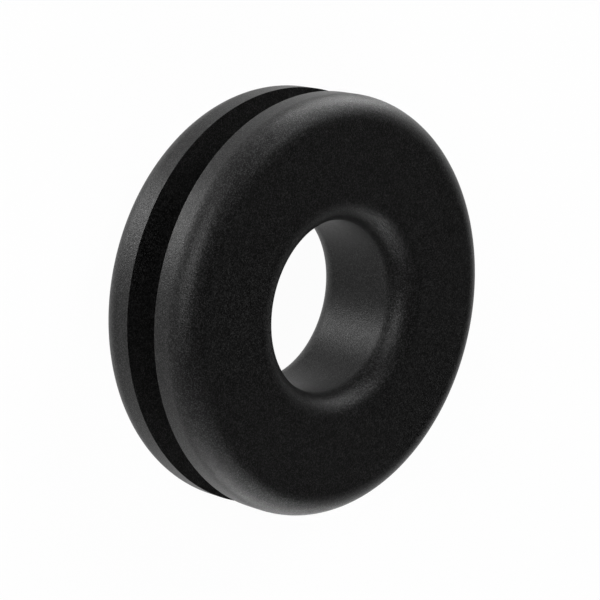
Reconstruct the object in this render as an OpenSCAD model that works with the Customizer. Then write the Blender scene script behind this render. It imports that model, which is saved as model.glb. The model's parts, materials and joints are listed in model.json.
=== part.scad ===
// Rubber grommet: a moulded ring that lines a hole in a sheet panel.
// The panel's edge sits in the groove, and a cable runs through the bore.
// It lies on one flat face, with its bore upright on the Z axis.

/* [Bore] */
// Diameter of the bore that the cable runs through
bore_d = 9; // [4:0.5:24]
// Radius that rounds the bore's mouth at each face
mouth_r = 1.4; // [0.2:0.1:2]

/* [Neck and groove] */
// Rubber between the bore and the floor of the groove
neck_wall = 3; // [1:0.25:8]
// Width of the groove, which is the thickness of the panel that it holds
groove_w = 2; // [0.8:0.1:6]
// Radius in each corner at the floor of the groove
root_r = 0.3; // [0.1:0.05:0.4]

/* [Flanges] */
// How far each flange stands out past the floor of the groove
flange_lip = 3.5; // [1.5:0.25:10]
// Thickness of each flange
flange_t = 2.3; // [2.1:0.1:6]
// Radius that rounds the rim of each flange on the side away from the groove
edge_r = 1.4; // [0.2:0.1:2]

/* [Hidden] */
bore_r = bore_d / 2;
neck_r = bore_r + neck_wall;
flange_r = neck_r + flange_lip;
mid_z = flange_t + groove_w / 2;
$fn = 180;

// What a quarter round of radius r leaves of a square corner, with the corner at the origin
module corner_scrap(r) {
    difference() {
        square(r);
        translate([r, r]) circle(r);
    }
}

// Section of the flange that the part rests on: flat below, rounded at its rim and at the bore's mouth
module flange_section() {
    difference() {
        translate([bore_r, 0]) square([flange_r - bore_r, flange_t]);
        translate([bore_r, 0]) corner_scrap(mouth_r);
        translate([flange_r, 0]) mirror([1, 0]) corner_scrap(edge_r);
    }
}

// Section of the lower half of the neck, with the fillet where it meets the flange
module neck_section() {
    translate([bore_r, flange_t]) square([neck_wall, groove_w / 2]);
    translate([neck_r, flange_t]) corner_scrap(root_r);
}

module half_section() {
    flange_section();
    neck_section();
}

// The two halves are alike, mirrored in the middle plane of the groove
module section() {
    half_section();
    translate([0, 2 * mid_z]) mirror([0, 1]) half_section();
}

module grommet() {
    color("#1b1b1c") rotate_extrude() section();
}

grommet();
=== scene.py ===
"""Rubber grommet: its finish, floor, light and camera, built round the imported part."""

import json
import math
from collections import namedtuple

import bmesh
import bpy
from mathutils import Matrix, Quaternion, Vector


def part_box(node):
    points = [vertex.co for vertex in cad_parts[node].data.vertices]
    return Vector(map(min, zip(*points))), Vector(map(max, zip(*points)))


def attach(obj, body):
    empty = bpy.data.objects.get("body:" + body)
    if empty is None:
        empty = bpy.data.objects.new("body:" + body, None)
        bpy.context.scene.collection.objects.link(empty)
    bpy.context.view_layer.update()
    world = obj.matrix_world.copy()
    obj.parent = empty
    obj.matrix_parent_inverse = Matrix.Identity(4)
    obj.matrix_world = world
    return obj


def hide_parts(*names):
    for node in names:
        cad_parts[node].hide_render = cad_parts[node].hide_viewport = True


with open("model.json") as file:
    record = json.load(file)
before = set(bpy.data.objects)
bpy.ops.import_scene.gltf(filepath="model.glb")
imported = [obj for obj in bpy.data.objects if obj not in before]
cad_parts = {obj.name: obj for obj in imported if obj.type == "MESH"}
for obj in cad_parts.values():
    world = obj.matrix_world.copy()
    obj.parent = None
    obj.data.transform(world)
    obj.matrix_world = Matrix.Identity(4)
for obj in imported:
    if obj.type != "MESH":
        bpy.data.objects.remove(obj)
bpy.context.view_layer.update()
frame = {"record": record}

# Sizes in metres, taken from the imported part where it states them
MM = 0.001
MOUNTS = {mount["name"]: mount for mount in frame["record"]["mounts"]}
BORE = MOUNTS["cable_bore"]["dims"]
GROOVE = MOUNTS["panel_groove"]["dims"]
HIGHEST_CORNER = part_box("grommet")[1]

BORE_R = BORE["r_mm"] * MM
NECK_R = GROOVE["r_mm"] * MM
FLANGE_R = HIGHEST_CORNER.x
THICKNESS = HIGHEST_CORNER.z
GROOVE_W = GROOVE["length_mm"] * MM
FLANGE_T = (THICKNESS - GROOVE_W) / 2
MOUTH_R = (THICKNESS - BORE["length_mm"] * MM) / 2
EDGE_R = 1.4 * MM
ROOT_R = 0.3 * MM

# Fineness of the turned mesh: steps round the axis, and along each kind of stretch of the section
TURN_STEPS = 288
FILLET_STEPS = 16
ROOT_STEPS = 6
FLAT_STEPS = 6
NECK_STEPS = 2

# Surface of the rubber. Shades and gloss run from the dull speckles to the few bright ones
SPECKLES_PER_M = 24000
SPECKLE_POWER = 3
SHADES = (0.0015, 0.0255)
GLOSS_LEVELS = (0.145, 0.205)
MOTTLE_PER_M = 450
MOTTLE_DETAIL = 3
MOTTLE_REACH = 0.2
ROUGHNESSES = (0.38, 0.41)
GRAIN_PER_M = 19000
GRAIN_DETAIL = 1
GRAIN_HEIGHT = 0.016 * MM

# Floor and the low pale wall round it
FLOOR_R = 0.6
FLOOR_SIDES = 96
WALL_H = 0.14
COVE_R = 0.08
COVE_STEPS = 8
FLOOR_COLOUR = 0.9
WHITE_SHARE = 0.97
AMBIENT = 0.01

# Camera: its angles in degrees
CAMERA_LENS_MM = 135
CAMERA_SENSOR_MM = 36
CAMERA_DISTANCE = 117.24 * MM
CAMERA_AZIMUTH = -90
CAMERA_ELEVATION = 43.42
CAMERA_ROLL = 102.94
NEAREST_SEEN = CAMERA_DISTANCE / 100

# Softboxes: azimuth and elevation in degrees, width and height in degrees as the part sees them, and level,
# which is how bright a white card that faces the softbox would be
LAMP_DISTANCE = 0.3
SOFTBOXES = {
    "front": dict(azimuth=-99, elevation=24, width=45, height=30, level=1.00),
    "side_near": dict(azimuth=158, elevation=7, width=39, height=52, level=1.02),
    "side_far": dict(azimuth=12, elevation=13, width=38, height=54, level=0.61),
    "behind": dict(azimuth=169, elevation=41, width=16, height=16, level=0.20),
    "accent": dict(azimuth=39, elevation=27, width=17, height=16, level=0.21),
    "low_near": dict(azimuth=160, elevation=-8, width=53, height=16, level=0.46),
    "low_far": dict(azimuth=27, elevation=-11, width=60, height=24, level=0.43),
    "under": dict(azimuth=-116, elevation=-48, width=19, height=16, level=0.57),
}

SectionPoint = namedtuple("SectionPoint", "r z normal_r normal_z")


def arc(centre_r, centre_z, radius, start, end, steps, side=1):
    """Points of an arc of the section from start to end degrees. Side -1 is a hollow arc."""
    points = []
    for step in range(steps + 1):
        angle = math.radians(start + (end - start) * step / steps)
        c, s = math.cos(angle), math.sin(angle)
        points.append(SectionPoint(centre_r + radius * c, centre_z + radius * s, side * c, side * s))
    return points


def line(start, end, normal, steps):
    """Points of a straight stretch of the section from start to end, which all have the same normal."""
    points = []
    for step in range(steps + 1):
        share = step / steps
        r = start[0] + (end[0] - start[0]) * share
        z = start[1] + (end[1] - start[1]) * share
        points.append(SectionPoint(r, z, *normal))
    return points


def lower_half():
    """Stretches of the section from the bore's middle, round the lower flange, to the groove's middle."""
    middle = THICKNESS / 2
    return [
        line((BORE_R, middle), (BORE_R, MOUTH_R), (-1, 0), FLAT_STEPS),
        arc(BORE_R + MOUTH_R, MOUTH_R, MOUTH_R, 180, 270, FILLET_STEPS),
        line((BORE_R + MOUTH_R, 0), (FLANGE_R - EDGE_R, 0), (0, -1), FLAT_STEPS),
        arc(FLANGE_R - EDGE_R, EDGE_R, EDGE_R, -90, 0, FILLET_STEPS),
        line((FLANGE_R, EDGE_R), (FLANGE_R, FLANGE_T), (1, 0), FLAT_STEPS),
        line((FLANGE_R, FLANGE_T), (NECK_R + ROOT_R, FLANGE_T), (0, 1), FLAT_STEPS),
        arc(NECK_R + ROOT_R, FLANGE_T + ROOT_R, ROOT_R, 270, 180, ROOT_STEPS, side=-1),
        line((NECK_R, FLANGE_T + ROOT_R), (NECK_R, middle), (1, 0), NECK_STEPS),
    ]


def mirrored(point):
    """The same point on the other side of the groove's middle plane."""
    return point._replace(z=THICKNESS - point.z, normal_z=-point.normal_z)


def upper_half():
    """The lower half mirrored, and run the other way."""
    return [[mirrored(point) for point in reversed(stretch)] for stretch in reversed(lower_half())]


def turned(name, stretches):
    """Mesh object made by turning a closed section about Z, with the section's own normals."""
    rings = sum(len(stretch) - 1 for stretch in stretches)
    angles = [2 * math.pi * step / TURN_STEPS for step in range(TURN_STEPS)]
    ways_out = [(math.cos(angle), math.sin(angle)) for angle in angles]
    vertices, faces, normals = [], [], []
    ring = 0
    for stretch in stretches:
        for near, far in zip(stretch, stretch[1:]):
            vertices += [(near.r * c, near.r * s, near.z) for c, s in ways_out]
            here = ring * TURN_STEPS
            there = (ring + 1) % rings * TURN_STEPS
            for step in range(TURN_STEPS):
                after = (step + 1) % TURN_STEPS
                faces.append((here + step, here + after, there + after, there + step))
                for point, turn in ((near, step), (near, after), (far, after), (far, step)):
                    c, s = ways_out[turn]
                    normals.append((point.normal_r * c, point.normal_r * s, point.normal_z))
            ring += 1
    mesh = bpy.data.meshes.new(name)
    mesh.from_pydata(vertices, [], faces)
    mesh.shade_smooth()
    mesh.normals_split_custom_set(normals)
    piece = bpy.data.objects.new(name, mesh)
    bpy.context.scene.collection.objects.link(piece)
    return piece


def new_material(name):
    """Material without nodes but for its output."""
    material = bpy.data.materials.new(name)
    material.use_nodes = True
    material.node_tree.nodes.clear()
    return material, material.node_tree.nodes.new("ShaderNodeOutputMaterial")


def noise(tree, coordinates, per_m, detail):
    """Noise texture in the part's own coordinates, with so many cells per metre."""
    node = tree.nodes.new("ShaderNodeTexNoise")
    node.inputs["Scale"].default_value = per_m
    node.inputs["Detail"].default_value = detail
    tree.links.new(coordinates, node.inputs["Vector"])
    return node.outputs["Fac"]


def speckles(tree, coordinates, per_m, power):
    """Random value from 0 to 1 for each of many tiny cells, so many per metre, and few of them high."""
    cells = tree.nodes.new("ShaderNodeTexVoronoi")
    cells.inputs["Scale"].default_value = per_m
    tree.links.new(coordinates, cells.inputs["Vector"])
    split = tree.nodes.new("ShaderNodeSeparateColor")
    tree.links.new(cells.outputs["Color"], split.inputs["Color"])
    raised = tree.nodes.new("ShaderNodeMath")
    raised.operation = "POWER"
    raised.inputs[1].default_value = power
    tree.links.new(split.outputs["Red"], raised.inputs[0])
    return raised.outputs[0]


def between(tree, source, ends, reach=0.5):
    """Turns values within reach of 0.5 into values between two ends."""
    node = tree.nodes.new("ShaderNodeMapRange")
    node.inputs["From Min"].default_value = 0.5 - reach
    node.inputs["From Max"].default_value = 0.5 + reach
    node.inputs["To Min"].default_value, node.inputs["To Max"].default_value = ends
    tree.links.new(source, node.inputs["Value"])
    return node.outputs["Result"]


def rubber():
    """Black moulded rubber: a fine bumpy grain, speckled in shade and in gloss."""
    material, output = new_material("black_rubber")
    tree = material.node_tree
    shader = tree.nodes.new("ShaderNodeBsdfPrincipled")
    tree.links.new(shader.outputs["BSDF"], output.inputs["Surface"])

    place = tree.nodes.new("ShaderNodeTexCoord").outputs["Object"]
    speckle = speckles(tree, place, SPECKLES_PER_M, SPECKLE_POWER)
    mottle = noise(tree, place, MOTTLE_PER_M, MOTTLE_DETAIL)
    grain = noise(tree, place, GRAIN_PER_M, GRAIN_DETAIL)

    shade = between(tree, speckle, SHADES)
    grey = tree.nodes.new("ShaderNodeCombineColor")
    for channel in ("Red", "Green", "Blue"):
        tree.links.new(shade, grey.inputs[channel])
    tree.links.new(grey.outputs["Color"], shader.inputs["Base Color"])
    tree.links.new(between(tree, speckle, GLOSS_LEVELS), shader.inputs["Specular IOR Level"])
    tree.links.new(between(tree, mottle, ROUGHNESSES, MOTTLE_REACH), shader.inputs["Roughness"])

    bump = tree.nodes.new("ShaderNodeBump")
    bump.inputs["Distance"].default_value = GRAIN_HEIGHT
    tree.links.new(grain, bump.inputs["Height"])
    tree.links.new(bump.outputs["Normal"], shader.inputs["Normal"])
    return material


def pale_sheet():
    """Pale matt sheet that the camera and reflections see as nearly white, with the part's shadow on it."""
    material, output = new_material("pale_sheet")
    tree = material.node_tree
    matt = tree.nodes.new("ShaderNodeBsdfDiffuse")
    matt.inputs["Color"].default_value = (FLOOR_COLOUR, FLOOR_COLOUR, FLOOR_COLOUR, 1)
    white = tree.nodes.new("ShaderNodeEmission")
    path = tree.nodes.new("ShaderNodeLightPath")

    seen = path.outputs["Is Camera Ray"]
    for kind in ("Is Glossy Ray", "Is Transmission Ray"):
        either = tree.nodes.new("ShaderNodeMath")
        either.operation = "MAXIMUM"
        tree.links.new(seen, either.inputs[0])
        tree.links.new(path.outputs[kind], either.inputs[1])
        seen = either.outputs[0]
    share = tree.nodes.new("ShaderNodeMath")
    share.operation = "MULTIPLY"
    share.inputs[1].default_value = WHITE_SHARE
    tree.links.new(seen, share.inputs[0])

    mix = tree.nodes.new("ShaderNodeMixShader")
    tree.links.new(share.outputs[0], mix.inputs["Fac"])
    tree.links.new(matt.outputs["BSDF"], mix.inputs[1])
    tree.links.new(white.outputs["Emission"], mix.inputs[2])
    tree.links.new(mix.outputs["Shader"], output.inputs["Surface"])
    return material


def wall_rings():
    """Radius and height of each ring of the wall: up the cove's quarter circle, then to the top."""
    rings = []
    for step in range(1, COVE_STEPS + 1):
        angle = math.radians(90 * step / COVE_STEPS)
        rings.append((FLOOR_R + COVE_R * math.sin(angle), COVE_R * (1 - math.cos(angle))))
    rings.append((FLOOR_R + COVE_R, WALL_H))
    return rings


def floor_and_wall():
    """Round floor whose edge curves up into a low wall, all in one sheet."""
    sheet = bmesh.new()
    bmesh.ops.create_circle(sheet, cap_ends=True, segments=FLOOR_SIDES, radius=FLOOR_R)
    rim = [edge for edge in sheet.edges if edge.is_boundary]
    for radius, z in wall_rings():
        grown = bmesh.ops.extrude_edge_only(sheet, edges=rim)["geom"]
        rim = [part for part in grown if isinstance(part, bmesh.types.BMEdge)]
        for corner in [part for part in grown if isinstance(part, bmesh.types.BMVert)]:
            flat = corner.co.to_2d().normalized() * radius
            corner.co = (flat.x, flat.y, z)
    mesh = bpy.data.meshes.new("floor")
    sheet.to_mesh(mesh)
    sheet.free()
    mesh.shade_smooth()
    mesh.materials.append(pale_sheet())
    floor = bpy.data.objects.new("floor", mesh)
    bpy.context.scene.collection.objects.link(floor)
    return floor


def direction(azimuth, elevation):
    """Unit vector to a point of the compass, in degrees from +X and above the floor."""
    a, e = math.radians(azimuth), math.radians(elevation)
    return Vector((math.cos(a) * math.cos(e), math.sin(a) * math.cos(e), math.sin(e)))


def softbox(name, centre, blockers, azimuth, elevation, width, height, level):
    """Rectangular lamp that faces the part, and that only the blockers shade."""
    lamp = bpy.data.lights.new(name, "AREA")
    lamp.shape = "RECTANGLE"
    lamp.size = 2 * LAMP_DISTANCE * math.tan(math.radians(width / 2))
    lamp.size_y = 2 * LAMP_DISTANCE * math.tan(math.radians(height / 2))
    lamp.energy = level * math.pi**2 * LAMP_DISTANCE**2
    # Bounced rays don't look for the lamp, because the floor would stop those that head for one below it
    lamp.cycles.use_multiple_importance_sampling = False
    holder = bpy.data.objects.new(name, lamp)
    way = direction(azimuth, elevation)
    holder.location = centre + way * LAMP_DISTANCE
    holder.rotation_mode = "QUATERNION"
    holder.rotation_quaternion = way.to_track_quat("Z", "Y")
    holder.visible_camera = False
    holder.light_linking.blocker_collection = blockers
    bpy.context.scene.collection.objects.link(holder)


def surroundings():
    """Dim even light from all round."""
    world = bpy.data.worlds.new("surroundings")
    world.use_nodes = True
    background = world.node_tree.nodes["Background"]
    background.inputs["Color"].default_value = (AMBIENT, AMBIENT, AMBIENT, 1)
    bpy.context.scene.world = world


def camera(centre):
    """Camera that looks down on the part, rolled so that the part seems to stand on its rim."""
    lens = bpy.data.cameras.new("camera")
    lens.lens = CAMERA_LENS_MM
    lens.sensor_width = CAMERA_SENSOR_MM
    lens.clip_start = NEAREST_SEEN
    holder = bpy.data.objects.new("camera", lens)
    back = direction(CAMERA_AZIMUTH, CAMERA_ELEVATION)
    roll = Quaternion((0, 0, 1), math.radians(CAMERA_ROLL))
    holder.location = centre + back * CAMERA_DISTANCE
    holder.rotation_mode = "QUATERNION"
    holder.rotation_quaternion = (-back).to_track_quat("-Z", "Y") @ roll
    bpy.context.scene.collection.objects.link(holder)
    bpy.context.scene.camera = holder


grommet = turned("grommet_body", lower_half() + upper_half())
grommet.data.materials.append(rubber())
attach(grommet, "root")
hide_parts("grommet")

floor_and_wall()

# The floor is a light table, so lamps below its level shine through it, and the part alone throws a shadow
shading = bpy.data.collections.new("shading")
shading.objects.link(grommet)
centre = Vector((0, 0, THICKNESS / 2))
for name, placing in SOFTBOXES.items():
    softbox(name, centre, shading, **placing)
surroundings()
camera(centre)
bpy.context.scene.view_settings.view_transform = "Standard"
